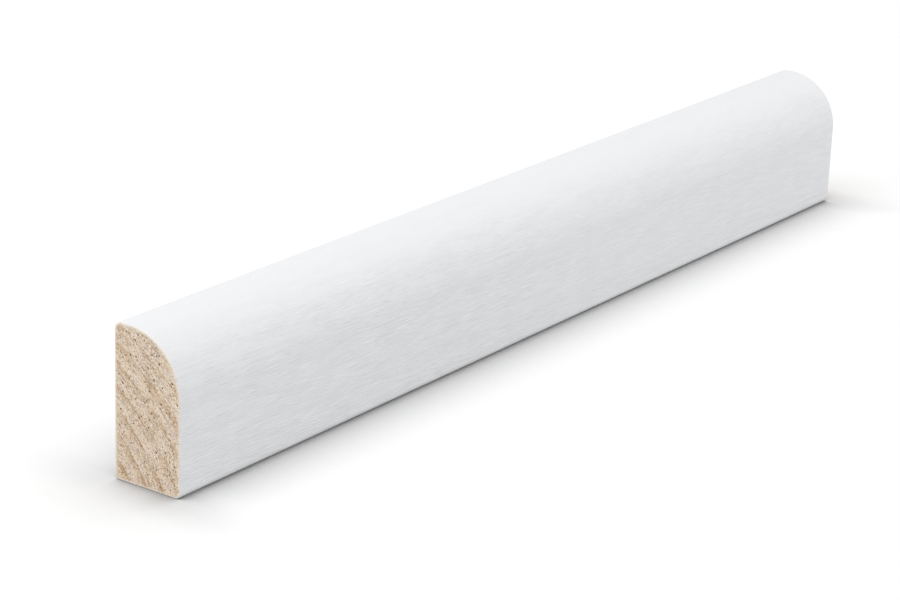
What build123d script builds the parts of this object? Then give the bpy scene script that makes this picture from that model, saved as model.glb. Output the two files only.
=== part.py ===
from build123d import *
import os

os.makedirs("parts", exist_ok=True)

# A short length of shoe moulding, the small trim that covers the joint between a
# skirting board and the floor. It is milled from one stick of pine and primed white.
# The stick stands on its foot as it stands in use. X runs along the wall, the painted
# front looks towards -Y, the back that meets the skirting looks towards +Y, and the
# floor is at Z = 0. The origin is the middle of the foot.

# Driving dimensions in millimetres
LENGTH = 150.0  # saw cut to saw cut
WIDTH = 9.7  # back to painted front, 3/8 inch stock
HEIGHT = 19.05  # floor to top, 3/4 inch stock
TOP_LAND = 1.2  # flat that the cutter leaves on top
TOP_BACK_RADIUS = 1.0  # eased corner where the top meets the skirting
FOOT_FRONT_RADIUS = 0.8  # eased corner where the front meets the floor
FOOT_BACK_RADIUS = 0.4  # lightly eased corner hidden against floor and skirting
END_EASE = 0.2  # arris sanded off round each saw cut

# The bead is a quarter round, tangent to the front and to the land on top, so its
# radius is what the land and the back corner leave of the width.
bead_radius = WIDTH - TOP_LAND - TOP_BACK_RADIUS
front = -WIDTH / 2
back = WIDTH / 2

with BuildPart() as shoe_moulding:
    # The milled section, drawn once on the near saw cut, from the foot's front corner
    # round by the back and over the top to the bead.
    with BuildSketch(Plane.YZ.offset(-LENGTH / 2)):
        with BuildLine():
            FilletPolyline(
                (front, 0),
                (back, 0),
                (back, HEIGHT),
                (front, HEIGHT),
                radius=(FOOT_FRONT_RADIUS, FOOT_BACK_RADIUS, TOP_BACK_RADIUS, bead_radius),
                close=True,
            )
        make_face()
    extrude(amount=LENGTH)
    # Both saw cuts are square to the stick, with the sharp arris taken off all round.
    saw_cuts = shoe_moulding.faces().filter_by(Axis.X)
    fillet(saw_cuts.edges(), radius=END_EASE)

shoe_moulding.part.label = "shoe_moulding"
export_step(shoe_moulding.part, "parts/shoe_moulding.step")

print("bead radius", round(bead_radius, 3), "mm")
print("size", shoe_moulding.part.bounding_box().size, "volume", round(shoe_moulding.part.volume, 1), "mm3")
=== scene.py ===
# %% [markdown]
# # A stick of shoe moulding
#
# Shoe moulding is the slim strip that hides the joint between a skirting board and the
# floor. This one is milled from a single stick of pine, primed white on its milled
# faces and left raw where the saw cut it. The measured stick comes in as a fixed frame,
# and everything below gives it its surface: growth rings, fibres, pits and primer.
# Each cell says what a finish is on the real thing before the code makes it.

# %% Load the measured stick
import math

import bpy
from mathutils import Matrix, Vector


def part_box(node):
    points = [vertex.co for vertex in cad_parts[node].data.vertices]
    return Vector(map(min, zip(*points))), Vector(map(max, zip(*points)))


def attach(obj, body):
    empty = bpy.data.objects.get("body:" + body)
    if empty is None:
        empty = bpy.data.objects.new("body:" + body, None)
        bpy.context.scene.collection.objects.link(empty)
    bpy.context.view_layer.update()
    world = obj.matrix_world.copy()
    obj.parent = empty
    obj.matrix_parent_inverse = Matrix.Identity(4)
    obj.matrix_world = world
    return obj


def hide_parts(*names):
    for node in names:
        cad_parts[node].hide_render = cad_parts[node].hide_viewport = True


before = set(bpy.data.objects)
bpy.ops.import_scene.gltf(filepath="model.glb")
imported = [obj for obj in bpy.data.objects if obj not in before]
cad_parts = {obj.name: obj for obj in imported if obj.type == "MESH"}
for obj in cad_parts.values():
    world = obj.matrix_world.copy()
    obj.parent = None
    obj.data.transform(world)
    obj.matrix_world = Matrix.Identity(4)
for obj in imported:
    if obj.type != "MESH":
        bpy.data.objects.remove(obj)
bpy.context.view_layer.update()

MM = 1000.0  # millimetres in a metre
NODE = "shoe_moulding"
lowest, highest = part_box(NODE)
LENGTH, WIDTH, HEIGHT = highest - lowest
print("stick", [round(size * MM, 2) for size in (LENGTH, WIDTH, HEIGHT)], "mm")

# %% [markdown]
# The section is a rectangle with four rounded corners. Three of them are only eased, and
# the fourth is the bead, which takes up most of the width. The bead is tangent to the
# front and to the narrow land on top, so its radius is what the land leaves.

# %% Sizes of the section, in metres
TOP_LAND = 0.0012
TOP_BACK_RADIUS = 0.001
FOOT_FRONT_RADIUS = 0.0008
FOOT_BACK_RADIUS = 0.0004
END_EASE = 0.0002
BEAD_RADIUS = WIDTH - TOP_LAND - TOP_BACK_RADIUS
print("bead radius", round(BEAD_RADIUS * MM, 2), "mm")

# %% [markdown]
# Shader trees and geometry trees share their maths, noise and mapping nodes. A few small
# helpers that work in both let one function describe the wood, once as colour and once as
# real relief, so that a dark ring and its ridge always lie in the same place.

# %% Helpers that build node trees
TREE_KINDS = ("ShaderNodeTree", "GeometryNodeTree")
SOCKETS = {
    int: "NodeSocketInt", float: "NodeSocketFloat", tuple: "NodeSocketVector", str: "NodeSocketGeometry",
}


def plug(tree, value, socket):
    """Feeds a socket from another node's output, or sets it to a plain value."""
    if isinstance(value, bpy.types.NodeSocket):
        tree.links.new(value, socket)
    else:
        socket.default_value = value


def add(tree, kind, inputs=None, **settings):
    """Adds one node with its settings, and fills the inputs that are named."""
    made = tree.nodes.new(kind)
    for name, value in settings.items():
        setattr(made, name, value)
    for name, value in (inputs or {}).items():
        plug(tree, value, made.inputs[name])
    return made


def new_tree(name, kind, inputs, outputs):
    """An empty tree and its two ends. A first value tells a socket's kind, and text is for a mesh."""
    tree = bpy.data.node_groups.new(name, kind)
    for in_out, sockets in (("INPUT", inputs), ("OUTPUT", outputs)):
        for title, value in sockets.items():
            made = tree.interface.new_socket(title, in_out=in_out, socket_type=SOCKETS[type(value)])
            if in_out == "INPUT" and not isinstance(value, str):
                made.default_value = value
    return tree, add(tree, "NodeGroupInput").outputs, add(tree, "NodeGroupOutput").inputs


def use(tree, group, **inputs):
    """Puts a group into a tree, fills its inputs and gives its outputs."""
    kind = tree.bl_idname.replace("Tree", "Group")
    return add(tree, kind, inputs, node_tree=group).outputs


# %% [markdown]
# Arithmetic in a tree takes one node for each step. These helpers write a step as a call,
# and the value that comes back goes straight into the next one.

# %% Helpers for sums in node trees
def calc(tree, operation, *values):
    """One step of arithmetic on numbers."""
    made = add(tree, "ShaderNodeMath", operation=operation)
    for socket, value in zip(made.inputs, values):
        plug(tree, value, socket)
    return made.outputs[0]


def vector(tree, operation, *values):
    """One step of arithmetic on vectors. A length comes out as a number."""
    made = add(tree, "ShaderNodeVectorMath", operation=operation)
    for socket, value in zip(made.inputs, values):
        plug(tree, value, socket)
    return made.outputs["Value" if operation == "LENGTH" else "Vector"]


def grow(tree, position, factor):
    """A vector times a number."""
    sockets = {"Vector": position, "Scale": factor}
    return add(tree, "ShaderNodeVectorMath", sockets, operation="SCALE").outputs[0]


def parts(tree, position):
    """The x, y and z of a vector."""
    return add(tree, "ShaderNodeSeparateXYZ", {"Vector": position}).outputs


def joined(tree, x, y, z):
    """A vector from its x, y and z."""
    return add(tree, "ShaderNodeCombineXYZ", {"X": x, "Y": y, "Z": z}).outputs[0]


def ease(tree, value, start, end, low=0.0, high=1.0):
    """Goes smoothly from low to high as value goes from start to end."""
    sockets = {"Value": value, "From Min": start, "From Max": end, "To Min": low, "To Max": high}
    made = add(tree, "ShaderNodeMapRange", sockets, interpolation_type="SMOOTHSTEP")
    return made.outputs["Result"]


def noise(tree, position, scale, detail=2.0, roughness=0.5):
    """Smooth noise between 0 and 1."""
    sockets = {"Vector": position, "Scale": scale, "Detail": detail, "Roughness": roughness}
    return add(tree, "ShaderNodeTexNoise", sockets).outputs["Fac"]


# %% [markdown]
# Pine lays down one ring a year. Each starts pale and soft in spring, darkens over the
# better part of a millimetre and stops at a hard edge. The pith of this tree was 16 mm
# behind the back and 12 mm under the foot, so the saw cut shows arcs about that point.
# The distance from the pith is the whole pattern: divided by the ring's width, its
# fraction says how far through the year the wood is. The stick runs a little out of line
# with the trunk, so the two ends don't show the same rings. Some summers are darker than
# others, and the rings nearer the pith are the stronger ones. The group also gives each
# point's place in the grain, which is along the fibres, across the rings and round them.

# %% Growth rings, in millimetres
PITH_BEHIND = 16.2
PITH_UNDER = 12.0
PITH = (0.0, MM * WIDTH / 2 + PITH_BEHIND, -PITH_UNDER)
FIRST_RING = 30.55
RING_WIDTH = 2.17
MEAN_RADIUS = 29.0
YOUNG_WOOD = 24.0
OLD_WOOD = 36.0
HARD_EDGE = 0.94
WANDERS_PER_MM = (0.015, 0.3, 0.3)
PATCHES_PER_MM = (0.03, 0.25, 0.3)


def growth_rings(kind):
    """A group that tells how dark the wood is at a place, and where that lies in the grain."""
    inputs = {
        "Position": (0.0, 0.0, 0.0), "Pith": PITH, "First Ring": FIRST_RING, "Ring Width": RING_WIDTH,
        "Run Out": 0.006, "Wander": 0.2, "Onset": 4.0,
    }
    outputs = {"Latewood": 0.0, "Grain": (0.0, 0.0, 0.0)}
    tree, given, result = new_tree("growth_rings", kind, inputs, outputs)
    from_pith = vector(tree, "SUBTRACT", given["Position"], given["Pith"])
    x, y, z = parts(tree, from_pith)
    radius = vector(tree, "LENGTH", joined(tree, 0.0, y, z))
    angle = calc(tree, "ARCTAN2", z, calc(tree, "MULTIPLY", y, -1.0))
    arc = calc(tree, "MULTIPLY", angle, MEAN_RADIUS)
    slow = vector(tree, "MULTIPLY", given["Position"], WANDERS_PER_MM)
    wander = calc(tree, "MULTIPLY", calc(tree, "SUBTRACT", noise(tree, slow, 1.0), 0.5), given["Wander"])
    shifted = calc(tree, "ADD", calc(tree, "MULTIPLY_ADD", x, given["Run Out"], radius), wander)
    grain = joined(tree, x, shifted, arc)
    from_first = calc(tree, "SUBTRACT", shifted, given["First Ring"])
    years = calc(tree, "DIVIDE", from_first, given["Ring Width"])
    season = calc(tree, "FRACT", years)
    year = calc(tree, "FLOOR", years)
    darkening = calc(tree, "POWER", season, given["Onset"])
    dark = calc(tree, "MULTIPLY", darkening, ease(tree, season, 1.0, HARD_EDGE))
    summer = add(tree, "ShaderNodeTexWhiteNoise", {"W": year}, noise_dimensions="1D").outputs["Value"]
    patches = vector(tree, "MULTIPLY", grain, PATCHES_PER_MM)
    patchy = ease(tree, noise(tree, patches, 1.0), 0.35, 0.6, 0.7, 1.6)
    young = ease(tree, radius, OLD_WOOD, YOUNG_WOOD, 0.6, 1.3)
    strength = calc(tree, "MULTIPLY", calc(tree, "MULTIPLY_ADD", summer, 0.4, 0.6), patchy)
    strength = calc(tree, "MULTIPLY", strength, young)
    plug(tree, calc(tree, "MULTIPLY", dark, strength), result["Latewood"])
    plug(tree, grain, result["Grain"])
    return tree


ring_groups = {kind: growth_rings(kind) for kind in TREE_KINDS}
print("rings", RING_WIDTH, "mm wide, pith at", [round(c, 2) for c in PITH], "mm")

# %% [markdown]
# Wood fibres run the length of the stick. Primer soaks in between them and lets their
# lines show as faint ridges. Noise that is stretched far along the grain and is fine
# across it gives lines on the long faces, and gives specks where the saw cut the fibres.

# %% Fibres
def fibres(kind):
    """A group that gives the height of fibres of a chosen size."""
    inputs = {"Grain": (0.0, 0.0, 0.0), "Size": (12.0, 0.5, 0.5)}
    tree, given, result = new_tree("fibres", kind, inputs, {"Height": 0.0})
    stretched = vector(tree, "DIVIDE", given["Grain"], given["Size"])
    plug(tree, noise(tree, stretched, 1.0, roughness=0.6), result["Height"])
    return tree


fibre_groups = {kind: fibres(kind) for kind in TREE_KINDS}
print("fibre groups", [group.name for group in fibre_groups.values()])

# %% [markdown]
# The saw leaves the end grain full of specks: dark pits, where resin canals and torn
# fibres open on the cut, and finer dark and pale ones. They lie in loose rows along the
# rings. Scattered points from a Voronoi texture make them: a cell is kept by chance, and
# its middle becomes a speck. One group makes all three kinds, at its own size and share,
# and drawn out along the stick it makes the short hairs that show through the primer.

# %% Specks
ROWS_ROUND = 0.7
DARK_CORE = 0.55


def specks(kind):
    """A group that scatters specks of a chosen size and share."""
    inputs = {
        "Grain": (0.0, 0.0, 0.0), "From": (0.0, 0.0, 0.0), "Spacing": 0.4, "Radius": 0.07, "Share": 0.2,
        "Ragged": 0.15,
    }
    tree, given, result = new_tree("specks", kind, inputs, {"Speck": 0.0})
    _, across, round_pith = parts(tree, given["Grain"])
    in_rows = joined(tree, across, calc(tree, "MULTIPLY", round_pith, ROWS_ROUND), 0.0)
    flat = vector(tree, "ADD", in_rows, given["From"])
    uneven = add(tree, "ShaderNodeTexNoise", {"Vector": flat, "Scale": 5.0}).outputs["Color"]
    ragged = grow(tree, uneven, given["Ragged"])
    cells_apart = calc(tree, "DIVIDE", 1.0, given["Spacing"])
    cell_inputs = {"Vector": vector(tree, "ADD", flat, ragged), "Scale": cells_apart}
    cells = add(tree, "ShaderNodeTexVoronoi", cell_inputs, voronoi_dimensions="2D")
    chance = parts(tree, cells.outputs["Color"])
    gathered = ease(tree, noise(tree, flat, 0.4, 1.0), 0.35, 0.6, 0.5, 1.0)
    kept = calc(tree, "LESS_THAN", chance["X"], calc(tree, "MULTIPLY", given["Share"], gathered))
    wide = calc(tree, "MULTIPLY", given["Radius"], calc(tree, "ADD", chance["Y"], 0.6))
    reach = calc(tree, "MULTIPLY", wide, cells_apart)
    shape = ease(tree, cells.outputs["Distance"], reach, calc(tree, "MULTIPLY", reach, DARK_CORE))
    plug(tree, calc(tree, "MULTIPLY", shape, kept), result["Speck"])
    return tree


speck_groups = {kind: specks(kind) for kind in TREE_KINDS}
print("speck groups", [group.name for group in speck_groups.values()])

# %% [markdown]
# The milled faces carry a thin factory primer. It is matt, cool white, and a touch
# uneven. At the saw cut it wears to a ragged, creamy edge, and the wood is paler there;
# both pale rims are partly that wear and partly a painted highlight along the arris.
# The pine is warm, from the pale wood of spring to the brown end of each ring.

# %% Colours of primer and wood
PRIMER = (0.87, 0.88, 0.896, 1.0)
# The low colour gives the primer its uneven tone and paints shade in the hollows; the groove colour
# paints shade, and the ridge and hair colours paint light.
PRIMER_LOW_AND_SHADE = (0.83, 0.838, 0.852, 1.0)
PRIMER_GROOVE_SHADE = (0.74, 0.75, 0.77, 1.0)
PRIMER_RIDGE_LIGHT = (0.94, 0.945, 0.95, 1.0)
PRIMER_HAIR_LIGHT = (0.98, 0.99, 1.0, 1.0)
EARLYWOOD = (0.847, 0.722, 0.616, 1.0)
ORANGE_WOOD = (0.875, 0.707, 0.523, 1.0)
LATEWOOD = (0.54, 0.338, 0.176, 1.0)
PALE_FLECK = (0.97, 0.84, 0.68, 1.0)
BRIGHT_FLECK = (1.0, 0.93, 0.8, 1.0)
DARK_FLECK = (0.3, 0.155, 0.065, 1.0)
# The pit colour is painted shade.
PIT_SHADE = (0.03, 0.012, 0.005, 1.0)
# The two edge colours are partly wear and partly a painted highlight along the arris.
EDGE_PEACH_AND_HIGHLIGHT = (0.95, 0.85, 0.73, 1.0)
EDGE_CREAM_AND_HIGHLIGHT = (0.94, 0.89, 0.835, 1.0)
print("primer", PRIMER[:3], "over wood", EARLYWOOD[:3])

# %% [markdown]
# Each finish is one base colour with marks laid over it, as a painter glazes one thin
# coat over another. A mark is a mask, which is 1 where it lies and 0 beside it. A Mix node
# keeps sockets for numbers, vectors and colours side by side, so the ones for colours are
# picked by their numbers.

# %% Helpers that lay one colour over another
MIX_AMOUNT, MIX_FIRST, MIX_SECOND = 0, 6, 7
MIXED_COLOUR = 2


def tint(tree, amount, first, second):
    """Goes from the first colour to the second."""
    sockets = {MIX_AMOUNT: amount, MIX_FIRST: first, MIX_SECOND: second}
    return add(tree, "ShaderNodeMix", sockets, data_type="RGBA").outputs[MIXED_COLOUR]


def layer(tree, under, colour, mask, strength=1.0):
    """Lays a colour over another where the mask is 1, as strongly as is asked."""
    return tint(tree, calc(tree, "MULTIPLY", mask, strength), under, colour)


def new_material(name):
    """A material with its tree, its shader and this object's coordinates in millimetres."""
    material = bpy.data.materials.new(name)
    material.use_nodes = True
    tree = material.node_tree
    shader = tree.nodes["Principled BSDF"]
    spot = grow(tree, add(tree, "ShaderNodeTexCoord").outputs["Object"], MM)
    return material, tree, shader, spot


# %% [markdown]
# Small functions give the masks that the two finishes and the carved relief share: rings,
# fibres, pits, fine specks, hairs and the worn edge, whose pale rim is partly a painted
# highlight. Each names only what differs from one use to the next, and another start in
# the scatter gives another set of specks.

# %% Where each mark lies
HAIR_STRETCH = 22.0
FIRST_START = (3.0, 5.0, 0.0)
SECOND_START = (7.0, 1.0, 0.0)


def rings_at(tree, spot):
    """How dark the year's ring is at a spot, and the spot's place in the grain."""
    ring = use(tree, ring_groups[tree.bl_idname], Position=spot)
    return ring["Latewood"], ring["Grain"]


def fibres_at(tree, grain, size):
    """Height of the fibres, for lines of a size along, across and round the rings."""
    return use(tree, fibre_groups[tree.bl_idname], Grain=grain, Size=size)["Height"]


def pits_at(tree, grain):
    """1 in a pit, 0 outside."""
    return use(tree, speck_groups[tree.bl_idname], Grain=grain)["Speck"]


def fine_specks_at(tree, grain, start, radius, share):
    """1 in a fine speck, 0 outside. Another start gives other specks."""
    sockets = {"Grain": grain, "From": start, "Spacing": 0.16, "Radius": radius, "Share": share}
    return use(tree, speck_groups[tree.bl_idname], **sockets)["Speck"]


def hairs_at(tree, spot, start):
    """1 on a hair that lies along the stick, 0 beside it. Another start gives other hairs."""
    x, y, z = parts(tree, spot)
    round_section = calc(tree, "DIVIDE", calc(tree, "ADD", y, z), ROWS_ROUND)
    drawn_out = joined(tree, 0.0, calc(tree, "DIVIDE", x, HAIR_STRETCH), round_section)
    sockets = {
        "Grain": drawn_out, "From": start,
        "Spacing": 0.29, "Radius": 0.048, "Share": 0.65, "Ragged": 0.03,
    }
    return use(tree, speck_groups[tree.bl_idname], **sockets)["Speck"]


def worn_edge_and_highlight(tree, grain, reach):
    """Fades in over the last stretch, in millimetres, before the arris of a saw cut, where the pale rim
    is partly wear and partly a painted highlight.
    """
    arris = add(tree, "ShaderNodeAttribute", attribute_name="arris").outputs["Fac"]
    ragged = calc(tree, "MULTIPLY_ADD", fibres_at(tree, grain, (1.0, 0.2, 0.2)), reach * 3.0, -reach)
    return ease(tree, calc(tree, "SUBTRACT", arris, ragged), reach * 0.5, -reach * 0.5)


# %% [markdown]
# Sawn pine is matt and busy: rings, faint bands beside them, a fine grit of fibre ends,
# bright flecks where fibres are torn up, and the pits, which are painted nearly black as
# the shade on their floors, where no light reaches. Each is a mask over one warm base colour.

# %% Sawn pine
pine, tree, shader, spot = new_material("sawn_pine")
latewood, grain = rings_at(tree, spot)
streaks = fibres_at(tree, grain, (8.0, 0.13, 1.3))
clouds = fibres_at(tree, grain, (20.0, 1.0, 2.0))
bands = fibres_at(tree, grain, (20.0, 0.4, 4.0))
grit = noise(tree, vector(tree, "MULTIPLY", grain, (0.1, 1.0, 0.8)), 7.0, 1.0, 0.7)
dark_specks = fine_specks_at(tree, grain, FIRST_START, 0.05, 0.35)
pale_specks = fine_specks_at(tree, grain, SECOND_START, 0.052, 0.38)
wood = layer(tree, EARLYWOOD, ORANGE_WOOD, ease(tree, clouds, 0.3, 0.7))
wood = layer(tree, wood, LATEWOOD, ease(tree, bands, 0.5, 0.3), 0.3)
wood = layer(tree, wood, DARK_FLECK, ease(tree, grit, 0.5, 0.3), 0.5)
wood = layer(tree, wood, PALE_FLECK, ease(tree, grit, 0.5, 0.7), 0.8)
wood = layer(tree, wood, LATEWOOD, latewood)
wood = layer(tree, wood, DARK_FLECK, ease(tree, streaks, 0.5, 0.3), 0.45)
wood = layer(tree, wood, PALE_FLECK, ease(tree, streaks, 0.5, 0.7), 0.45)
wood = layer(tree, wood, DARK_FLECK, dark_specks, 0.9)
wood = layer(tree, wood, BRIGHT_FLECK, pale_specks)
# Painted shade: the pits are painted nearly black, over their real holes.
wood = layer(tree, wood, PIT_SHADE, pits_at(tree, grain))
# Paler wood at the arris: partly wear, partly a painted highlight.
wood = layer(tree, wood, EDGE_PEACH_AND_HIGHLIGHT, worn_edge_and_highlight(tree, grain, 0.22), 0.8)
plug(tree, wood, shader.inputs["Base Color"])
shader.inputs["Roughness"].default_value = 0.85
shader.inputs["Specular IOR Level"].default_value = 0.1
bump = add(tree, "ShaderNodeBump", {"Height": streaks, "Strength": 0.6, "Distance": 0.00004})
plug(tree, bump.outputs["Normal"], shader.inputs["Normal"])
print(pine.name, "has", len(tree.nodes), "nodes")

# %% [markdown]
# Primer hides the colour of the wood but not its lines. It sinks into the open grain and
# stands proud between, which leaves soft lines along the fibres, with painted shade in the
# grooves and hollows and painted light on the ridges. It raises loose fibres as crisp short
# hairs, some painted light as a highlight and some with a dark nick of painted shade beside
# them. They gather in drifts. They fade on the bead and towards the far end, which are sanded most.

# %% Where the lines show in the primer, in millimetres
LEFT_ON_BEAD = 0.33
LEFT_FAR_OFF = 0.67
primer, tree, shader, spot = new_material("white_primer")
latewood, grain = rings_at(tree, spot)
x, _, z = parts(tree, spot)
on_bead = ease(tree, z, 15.5, 18.2, 1.0, LEFT_ON_BEAD)
far_off = ease(tree, x, -25.0, 15.0, 1.0, LEFT_FAR_OFF)
left = calc(tree, "MULTIPLY", on_bead, far_off)
drifts = ease(tree, fibres_at(tree, grain, (14.0, 1.5, 1.5)), 0.35, 0.65, 0.5, 1.0)
shown = calc(tree, "MULTIPLY", drifts, left)
print("sanding leaves", LEFT_ON_BEAD, "of the lines on the bead")

# %% [markdown]
# The marks are laid on from the broadest to the finest. Soft clouds and the painted shade
# of the hollows come first, then the lines of the fibres, with painted shade in their grooves
# and painted light on their ridges, then the hairs with their painted highlight and the nicks
# of painted shade beside them, and last the worn edge with its partly painted highlight. The
# same heights drive the bump, which gives each line an upper and a lower edge that catch the
# light differently.

# %% White primer
fine = fibres_at(tree, grain, (2.5, 0.16, 0.16))
broad = fibres_at(tree, grain, (7.0, 0.6, 0.6))
shaded_grooves = calc(tree, "MULTIPLY", ease(tree, fine, 0.47, 0.3), shown)
ridges = calc(tree, "MULTIPLY", ease(tree, fine, 0.55, 0.72), shown)
lit_hairs = calc(tree, "MULTIPLY", hairs_at(tree, spot, FIRST_START), shown)
shaded_nicks = calc(tree, "MULTIPLY", hairs_at(tree, spot, SECOND_START), shown)
clouds = noise(tree, vector(tree, "MULTIPLY", spot, (0.3, 1.0, 1.0)), 0.6)
mottle = calc(tree, "MULTIPLY", ease(tree, clouds, 0.6, 0.35), left)
shaded_hollows = calc(tree, "MULTIPLY", ease(tree, broad, 0.5, 0.3), left)
white = layer(tree, PRIMER, PRIMER_LOW_AND_SHADE, mottle, 0.7)
# Painted shade in the broad hollows of the relief.
white = layer(tree, white, PRIMER_LOW_AND_SHADE, shaded_hollows, 0.7)
white = layer(tree, white, PRIMER_LOW_AND_SHADE, latewood, 0.3)
# Painted shade in the grooves and painted light on the ridges, over the bump.
white = layer(tree, white, PRIMER_GROOVE_SHADE, shaded_grooves, 0.32)
white = layer(tree, white, PRIMER_RIDGE_LIGHT, ridges, 0.35)
# Painted highlight on the raised hairs, and painted shade in the nicks beside them.
white = layer(tree, white, PRIMER_HAIR_LIGHT, lit_hairs)
white = layer(tree, white, PRIMER_GROOVE_SHADE, shaded_nicks, 0.35)
# Creamy primer at the arris: partly wear, partly a painted highlight.
white = layer(tree, white, EDGE_CREAM_AND_HIGHLIGHT, worn_edge_and_highlight(tree, grain, 0.3))
plug(tree, white, shader.inputs["Base Color"])
plug(tree, ease(tree, broad, 0.3, 0.7, 0.5, 0.62), shader.inputs["Roughness"])
shader.inputs["Specular IOR Level"].default_value = 0.35
height = calc(tree, "MULTIPLY", calc(tree, "MULTIPLY_ADD", fine, 0.85, broad), left)
height = calc(tree, "MULTIPLY_ADD", calc(tree, "SUBTRACT", lit_hairs, shaded_nicks), 0.15, height)
bump = add(tree, "ShaderNodeBump", {"Height": height, "Strength": 1.0, "Distance": 0.00008})
plug(tree, bump.outputs["Normal"], shader.inputs["Normal"])
print(primer.name, "has", len(tree.nodes), "nodes")

# %% [markdown]
# A corner of the section is rounded by pulling a square into a quarter disc. Inside the
# corner's square, a point keeps its direction from the corner's centre, and its larger
# distance, across or up, becomes its radius. Points outside the square don't move, so
# four such steps round all four corners, and the squares inside follow along.

# %% Round one corner of the section
ZERO = (0.0, 0.0, 0.0)
NEXT_TO_NOTHING = 1e-9
corner_inputs = {"Position": ZERO, "Centre": ZERO, "Outward": (0.0, 1.0, 1.0)}
corner, given, result = new_tree("rounded_corner", "GeometryNodeTree", corner_inputs, {"Position": ZERO})
from_centre = vector(corner, "SUBTRACT", given["Position"], given["Centre"])
reach = vector(corner, "MAXIMUM", vector(corner, "MULTIPLY", from_centre, given["Outward"]), ZERO)
sides = parts(corner, reach)
radius = calc(corner, "MAXIMUM", sides["Y"], sides["Z"])
distance = calc(corner, "MAXIMUM", vector(corner, "LENGTH", reach), NEXT_TO_NOTHING)
pull = calc(corner, "SUBTRACT", calc(corner, "DIVIDE", radius, distance), 1.0)
move = vector(corner, "MULTIPLY", grow(corner, reach, pull), given["Outward"])
plug(corner, vector(corner, "ADD", given["Position"], move), result["Position"])

# %% [markdown]
# The stick itself follows a rule: one section, carried along X, with the arris eased at
# both saw cuts. Curve to Mesh would sweep the section, but would close its ends with one
# flat face each. A box of small squares is used here, because its ends are grids too:
# they take rings and pits as real relief. Every size is an input of the tree, so one tree
# makes a stick of any length or section.

# %% A box of small squares
sizes = {
    "Length": LENGTH, "Width": WIDTH, "Height": HEIGHT, "Bead Radius": BEAD_RADIUS,
    "Top Back Radius": TOP_BACK_RADIUS, "Foot Front Radius": FOOT_FRONT_RADIUS,
    "Foot Back Radius": FOOT_BACK_RADIUS, "End Ease": END_EASE,
}
counts = {"Rows Along": 104, "Cells Across": 92, "Cells Up": 184, "Ease Rows": 4}
relief = {"Side Relief": 0.000014, "End Relief": 0.00005, "Pit Depth": 0.00012}
stick_inputs = {**sizes, **counts, **relief}
stick, given, result = new_tree("moulding_stick", "GeometryNodeTree", stick_inputs, {"Stick": "mesh"})
stick.is_modifier = True
points_along, points_across, points_up = (
    calc(stick, "ADD", given[name], 1.0) for name in ("Rows Along", "Cells Across", "Cells Up")
)
grid = {
    "Size": (1.0, 1.0, 1.0),
    "Vertices X": points_along, "Vertices Y": points_across, "Vertices Z": points_up,
}
squares = add(stick, "GeometryNodeMeshCube", grid).outputs["Mesh"]
share = parts(stick, add(stick, "GeometryNodeInputPosition").outputs[0])
print("box of", counts)

# %% [markdown]
# Each row's number, counted from the nearer end, says where it goes. It first turns
# through the quarter circle of the arris, which moves it along and makes its section
# smaller, and from there on it takes an even step.

# %% Spread the rows along the stick
ease_rows = given["Ease Rows"]
row = calc(stick, "MULTIPLY", calc(stick, "ADD", share["X"], 0.5), given["Rows Along"])
row_from_far = calc(stick, "SUBTRACT", given["Rows Along"], row)
from_end = calc(stick, "MAXIMUM", calc(stick, "MINIMUM", row, row_from_far), 0.0)
turned = calc(stick, "MINIMUM", calc(stick, "DIVIDE", from_end, ease_rows), 1.0)
turn = calc(stick, "MULTIPLY", turned, math.pi / 2)
one_less_sine = calc(stick, "SUBTRACT", 1.0, calc(stick, "SINE", turn))
one_less_cosine = calc(stick, "SUBTRACT", 1.0, calc(stick, "COSINE", turn))
inset = calc(stick, "MULTIPLY", one_less_sine, given["End Ease"])
eased = calc(stick, "MULTIPLY", one_less_cosine, given["End Ease"])
half_rows = calc(stick, "SUBTRACT", calc(stick, "MULTIPLY", given["Rows Along"], 0.5), ease_rows)
half_length = calc(stick, "MULTIPLY", given["Length"], 0.5)
even_rows = calc(stick, "MAXIMUM", calc(stick, "SUBTRACT", from_end, ease_rows), 0.0)
even_length = calc(stick, "SUBTRACT", half_length, given["End Ease"])
straight = calc(stick, "MULTIPLY", calc(stick, "DIVIDE", even_rows, half_rows), even_length)
x = calc(stick, "SUBTRACT", half_length, calc(stick, "ADD", eased, straight))
x = calc(stick, "MULTIPLY", x, calc(stick, "SIGN", share["X"]))

# %% [markdown]
# Each row then takes its own width and height, and its four corners are rounded one
# after the other. The last of them is the bead.

# %% Round the section
y = calc(stick, "MULTIPLY", share["Y"], calc(stick, "MULTIPLY_ADD", inset, -2.0, given["Width"]))
from_foot = calc(stick, "ADD", share["Z"], 0.5)
z = calc(stick, "MULTIPLY", from_foot, calc(stick, "MULTIPLY_ADD", inset, -2.0, given["Height"]))
shape = joined(stick, x, y, calc(stick, "ADD", z, inset))
half_width = calc(stick, "MULTIPLY", given["Width"], 0.5)
SECTION_CORNERS = {
    "Foot Front": (-1.0, -1.0), "Foot Back": (1.0, -1.0), "Top Back": (1.0, 1.0), "Bead": (-1.0, 1.0),
}
for name, (across, up) in SECTION_CORNERS.items():
    radius = given[name + " Radius"]
    centre_y = calc(stick, "MULTIPLY", calc(stick, "SUBTRACT", half_width, radius), across)
    centre_z = calc(stick, "SUBTRACT", given["Height"], radius) if up > 0 else radius
    centre = joined(stick, 0.0, centre_y, centre_z)
    rounded = use(stick, corner, Position=shape, Centre=centre, Outward=(0.0, across, up))
    shape = rounded["Position"]
print("rounded", list(SECTION_CORNERS))

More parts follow.
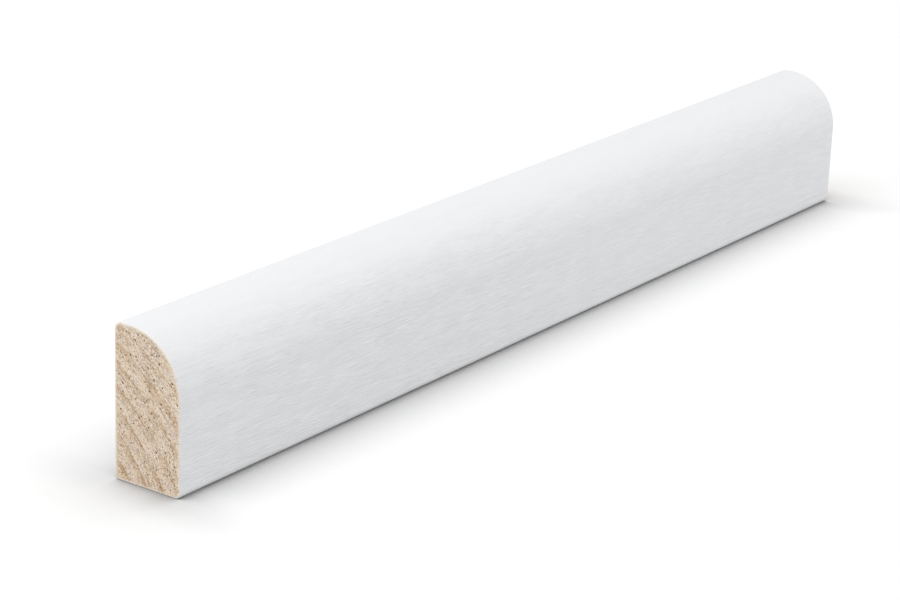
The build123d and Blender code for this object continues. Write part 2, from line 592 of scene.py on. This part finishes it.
# %% [markdown]
# The finishes need to know how far a point is from the arris of a saw cut, over the cut
# or along the stick. That is worked out on the plain box, before it is bent to shape, and
# is kept on the mesh as a named attribute in millimetres. The row's number is kept too,
# because it tells the saw cut from the milled faces.

# %% Mark the arris and the rows
def to_face(across, size):
    """How far a point is from the nearer of two faces of the box."""
    inside = calc(stick, "SUBTRACT", 0.5, calc(stick, "ABSOLUTE", across))
    return calc(stick, "MULTIPLY", inside, size)


marked = add(stick, "GeometryNodeCaptureAttribute")
marked.capture_items.new("FLOAT", "From End")
plug(stick, squares, marked.inputs["Geometry"])
plug(stick, from_end, marked.inputs["From End"])
to_side = to_face(share["Y"], given["Width"])
to_top = to_face(share["Z"], given["Height"])
to_milled = calc(stick, "MINIMUM", to_side, to_top)
to_cut = calc(stick, "SUBTRACT", half_length, calc(stick, "ABSOLUTE", x))
arris = calc(stick, "MULTIPLY", calc(stick, "ADD", to_milled, to_cut), MM)
with_arris = {"Geometry": marked.outputs["Geometry"], "Name": "arris", "Value": arris}
edged = add(stick, "GeometryNodeStoreNamedAttribute", with_arris, data_type="FLOAT", domain="POINT")
shaped = add(stick, "GeometryNodeSetPosition", {"Geometry": edged.outputs[0], "Position": shape})

# %% [markdown]
# Relief only goes inward, so the stick keeps its measured size. On the long faces it is
# the faint ridges of rings and fibres. On the saw cut the soft spring wood is torn lower
# than the hard edge of each ring, and the pits are real holes.

# %% Carve the relief and finish the stick
RING_STANDS = 0.35
SAWN_ROWS = 0.75
normal = add(stick, "GeometryNodeInputNormal").outputs[0]
spot = grow(stick, add(stick, "GeometryNodeInputPosition").outputs[0], MM)
latewood, grain = rings_at(stick, spot)
ridges = fibres_at(stick, grain, (14.0, 0.5, 0.5))
grit = fibres_at(stick, grain, (5.0, 0.3, 0.5))
pit = pits_at(stick, grain)
soft_wood = calc(stick, "MULTIPLY_ADD", latewood, -RING_STANDS, 1.0)
side_drop = calc(stick, "SUBTRACT", soft_wood, ridges)
side_depth = calc(stick, "MULTIPLY", calc(stick, "MAXIMUM", side_drop, 0.0), given["Side Relief"])
end_drop = calc(stick, "SUBTRACT", soft_wood, grit)
end_depth = calc(stick, "MULTIPLY", calc(stick, "MAXIMUM", end_drop, 0.0), given["End Relief"])
end_depth = calc(stick, "MULTIPLY_ADD", pit, given["Pit Depth"], end_depth)
facing_end = calc(stick, "ABSOLUTE", parts(stick, normal)["X"])
depth = ease(stick, facing_end, 0.6, 0.98, side_depth, end_depth)
inward = grow(stick, normal, calc(stick, "MULTIPLY", depth, -1.0))
carved = add(stick, "GeometryNodeSetPosition", {"Geometry": shaped.outputs[0], "Offset": inward})
smooth = add(stick, "GeometryNodeSetShadeSmooth", {"Geometry": carved.outputs[0]})
primed = add(stick, "GeometryNodeSetMaterial", {"Geometry": smooth.outputs[0], "Material": primer})
on_cut = calc(stick, "LESS_THAN", marked.outputs["From End"], SAWN_ROWS)
cut_faces = {"Geometry": primed.outputs[0], "Selection": on_cut, "Material": pine}
sawn = add(stick, "GeometryNodeSetMaterial", cut_faces)
finished = add(stick, "GeometryNodeRealizeInstances", {"Geometry": sawn.outputs[0]})
plug(stick, finished.outputs[0], result["Stick"])

# %% [markdown]
# The modifier runs the tree once. Its result is copied into a plain mesh, which is what
# an exporter or another program can use, and the mesh takes the place of the plain stick.

# %% Turn the tree into a plain mesh
draft = bpy.data.objects.new("draft_stick", bpy.data.meshes.new("draft_stick"))
bpy.context.scene.collection.objects.link(draft)
modifier = draft.modifiers.new("moulding_stick", "NODES")
modifier.node_group = stick
sockets = {item.name: item.identifier for item in stick.interface.items_tree if item.in_out == "INPUT"}
for name, value in stick_inputs.items():
    modifier[sockets[name]] = value
evaluated = draft.evaluated_get(bpy.context.evaluated_depsgraph_get())
mesh = bpy.data.meshes.new_from_object(evaluated)
bpy.data.objects.remove(draft)
mesh.name = "moulding"
empty_slots = [index for index, material in enumerate(mesh.materials) if material is None]
for index in reversed(empty_slots):
    mesh.materials.pop(index=index)
moulding = bpy.data.objects.new("moulding", mesh)
bpy.context.scene.collection.objects.link(moulding)
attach(moulding, "root")
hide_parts(NODE)
mesh.calc_loop_triangles()
print("moulding", len(mesh.loop_triangles), "triangles, materials", [m.name for m in mesh.materials])

# %% [markdown]
# The camera stands close to the near end and looks down the stick, a little tilted. Its
# place is given as a photographer would: how far round, how high, how far off and how
# far the picture's middle lies from the middle of the foot.

# %% Camera
CAMERA_ROUND, CAMERA_UP, CAMERA_ROLL = (math.radians(a) for a in (-54.942, 19.354, -2.148))
CAMERA_AWAY = 0.373529
AIM_RIGHT, AIM_DOWN = -0.009798, -0.002549
SENSOR = 36.0
LENS = 112.462
NEAREST_SEEN = 0.01


def camera_place():
    """Where the camera stands and how it is turned."""
    away = Vector((
        math.sin(CAMERA_ROUND) * math.cos(CAMERA_UP),
        -math.cos(CAMERA_ROUND) * math.cos(CAMERA_UP),
        math.sin(CAMERA_UP),
    ))
    level = (-away).cross(Vector((0, 0, 1))).normalized()
    below = (-away).cross(level)
    cos, sin = math.cos(CAMERA_ROLL), math.sin(CAMERA_ROLL)
    right = cos * level + sin * below
    down = cos * below - sin * level
    turn = Matrix((right, -down, away)).transposed().to_4x4()
    return Matrix.Translation(away * CAMERA_AWAY + right * AIM_RIGHT + down * AIM_DOWN) @ turn


lens = bpy.data.cameras.new("camera")
lens.sensor_width = SENSOR
lens.lens = LENS
lens.clip_start = NEAREST_SEEN
camera = bpy.data.objects.new("camera", lens)
camera.matrix_world = camera_place()
bpy.context.scene.collection.objects.link(camera)
bpy.context.scene.camera = camera
print("camera", [round(c, 4) for c in camera.location])

# %% [markdown]
# The floor is one plain square of pale paper, so wide that its edge is never in sight. It
# belongs to the studio and not to the stick.

# %% Floor
FLOOR_HALF = 3.0
SQUARE = ((-1, -1), (1, -1), (1, 1), (-1, 1))
floor_mesh = bpy.data.meshes.new("floor")
floor_mesh.from_pydata([(x * FLOOR_HALF, y * FLOOR_HALF, 0.0) for x, y in SQUARE], [], [(0, 1, 2, 3)])
floor = bpy.data.objects.new("floor", floor_mesh)
bpy.context.scene.collection.objects.link(floor)
print("floor", 2 * FLOOR_HALF, "m wide")

# %% [markdown]
# What the camera sees of the floor is a darker paper that glows, so that it meets the
# white of the studio, and none of that glow lights the stick. The glow fades within a few
# millimetres of the stick, where the open air above the paper closes, and that fade paints
# most of the soft shadow round the foot. The painted shadow is set to reach further behind
# the stick and beyond its ends. A corner of the foot shuts out less air than a long side
# does, so there the glow is set to fade faster, and the painted shadow keeps its depth all
# the way round. Places on the floor are in millimetres from the middle of the foot.

# %% Paper of the floor
FLOOR_GREY = (0.57, 0.57, 0.57, 1.0)
FLOOR_SEEN = (0.4, 0.4, 0.4, 1.0)
FLOOR_GLOW = 0.62
PAINTED_SHADOW_POWER = 0.41
AIR_AT_A_WALL = 0.5
SHADOW_REACH = 0.009
REACH_BEHIND = 0.016
AIR_SAMPLES = 24
WHITE = (1.0, 1.0, 1.0, 1.0)


def seen_directly(tree):
    """1 for what the camera sees itself, in a mirror or through glass, else 0."""
    rays = add(tree, "ShaderNodeLightPath").outputs
    clear = calc(tree, "MAXIMUM", rays["Is Glossy Ray"], rays["Is Transmission Ray"])
    return calc(tree, "MAXIMUM", rays["Is Camera Ray"], clear)


paper, tree, shader, spot = new_material("pale_floor")
seen = seen_directly(tree)
plug(tree, tint(tree, seen, FLOOR_GREY, FLOOR_SEEN), shader.inputs["Base Color"])
shader.inputs["Roughness"].default_value = 1.0
shader.inputs["Specular IOR Level"].default_value = 0.0
x, y, _ = parts(tree, spot)
saw_cut = MM * LENGTH / 2
along = calc(tree, "ABSOLUTE", x)
beyond_end = ease(tree, along, saw_cut - 3.0, saw_cut + 5.0)
behind = calc(tree, "MAXIMUM", ease(tree, y, 0.0, 8.0), beyond_end)
shadow_reach = calc(tree, "MULTIPLY_ADD", behind, REACH_BEHIND - SHADOW_REACH, SHADOW_REACH)
open_air = add(tree, "ShaderNodeAmbientOcclusion", {"Distance": shadow_reach}, samples=AIR_SAMPLES)
opening = {"Value": open_air.outputs["AO"], "From Min": AIR_AT_A_WALL}
from_wall = add(tree, "ShaderNodeMapRange", opening).outputs["Result"]
# The extra fade by the ends and corners is set by place and deepens the painted shadow.
at_end = ease(tree, along, saw_cut - 4.0, saw_cut + 1.0)
past_end = ease(tree, along, saw_cut + 1.5, saw_cut + 7.5)
front_corner_shadow = ease(tree, y, 0.0, -5.0, 0.04, 0.52)
back_corner_shadow = ease(tree, y, 2.0, 7.0, 0.0, 0.3)
corner_shadow_depth = calc(tree, "ADD", front_corner_shadow, back_corner_shadow)
painted_shadow_fade = calc(tree, "MULTIPLY_ADD", calc(tree, "SUBTRACT", at_end, past_end), corner_shadow_depth, PAINTED_SHADOW_POWER)
# The glow's fade near the stick paints most of its shadow on the floor.
glow_with_painted_shadow = calc(tree, "MULTIPLY", calc(tree, "POWER", from_wall, painted_shadow_fade), FLOOR_GLOW)
glow = add(tree, "ShaderNodeEmission", {"Color": WHITE})
plug(tree, calc(tree, "MULTIPLY", seen, glow_with_painted_shadow), glow.inputs["Strength"])
lit = add(tree, "ShaderNodeAddShader", {0: shader.outputs[0], 1: glow.outputs[0]})
plug(tree, lit.outputs[0], tree.nodes["Material Output"].inputs["Surface"])
floor_mesh.materials.append(paper)
print(paper.name, "has", len(tree.nodes), "nodes")

# %% [markdown]
# Two small soft boxes shape the stick. One hangs over the near end, a little behind it,
# and makes that end of the top the brightest. The other stands low in front, nearer the
# far end, and lifts the front. Both are weak, because the room gives most of the light.

# %% Lamps
TOP_PLACE = Vector((-0.25, 0.12, 0.3))
TOP_SIZE = 0.2
TOP_WATTS = 0.25
FRONT_PLACE = Vector((0.33, -0.45, 0.12))
FRONT_SIZE = 0.2
FRONT_WATTS = 0.3


def soft_box(name, place, size, watts):
    """A square lamp that looks at the stick."""
    data = bpy.data.lights.new(name, "AREA")
    data.shape = "SQUARE"
    data.size = size
    data.energy = watts
    lamp = bpy.data.objects.new(name, data)
    lamp.location = place
    lamp.rotation_euler = (-place).to_track_quat("-Z", "Y").to_euler()
    bpy.context.scene.collection.objects.link(lamp)


soft_box("top_light", TOP_PLACE, TOP_SIZE, TOP_WATTS)
soft_box("front_light", FRONT_PLACE, FRONT_SIZE, FRONT_WATTS)
print("lamps", TOP_WATTS, "and", FRONT_WATTS, "W")

# %% [markdown]
# A pale room lights every side alike, so the shadows are soft. The camera sees plain
# white in its place, which is a backdrop and adds no light.

# %% Room
ROOM_LIGHT = 0.893
BACKDROP_WHITE = 1.0
world = bpy.data.worlds.new("room")
world.use_nodes = True
bpy.context.scene.world = world
room = world.node_tree
fill = room.nodes["Background"]
fill.inputs["Color"].default_value = WHITE
fill.inputs["Strength"].default_value = ROOM_LIGHT
backdrop = add(room, "ShaderNodeBackground", {"Color": WHITE, "Strength": BACKDROP_WHITE})
by_ray = {0: seen_directly(room), 1: fill.outputs[0], 2: backdrop.outputs[0]}
chosen = add(room, "ShaderNodeMixShader", by_ray)
plug(room, chosen.outputs[0], room.nodes["World Output"].inputs["Surface"])
bpy.context.scene.view_settings.view_transform = "Standard"
print("room light", ROOM_LIGHT)
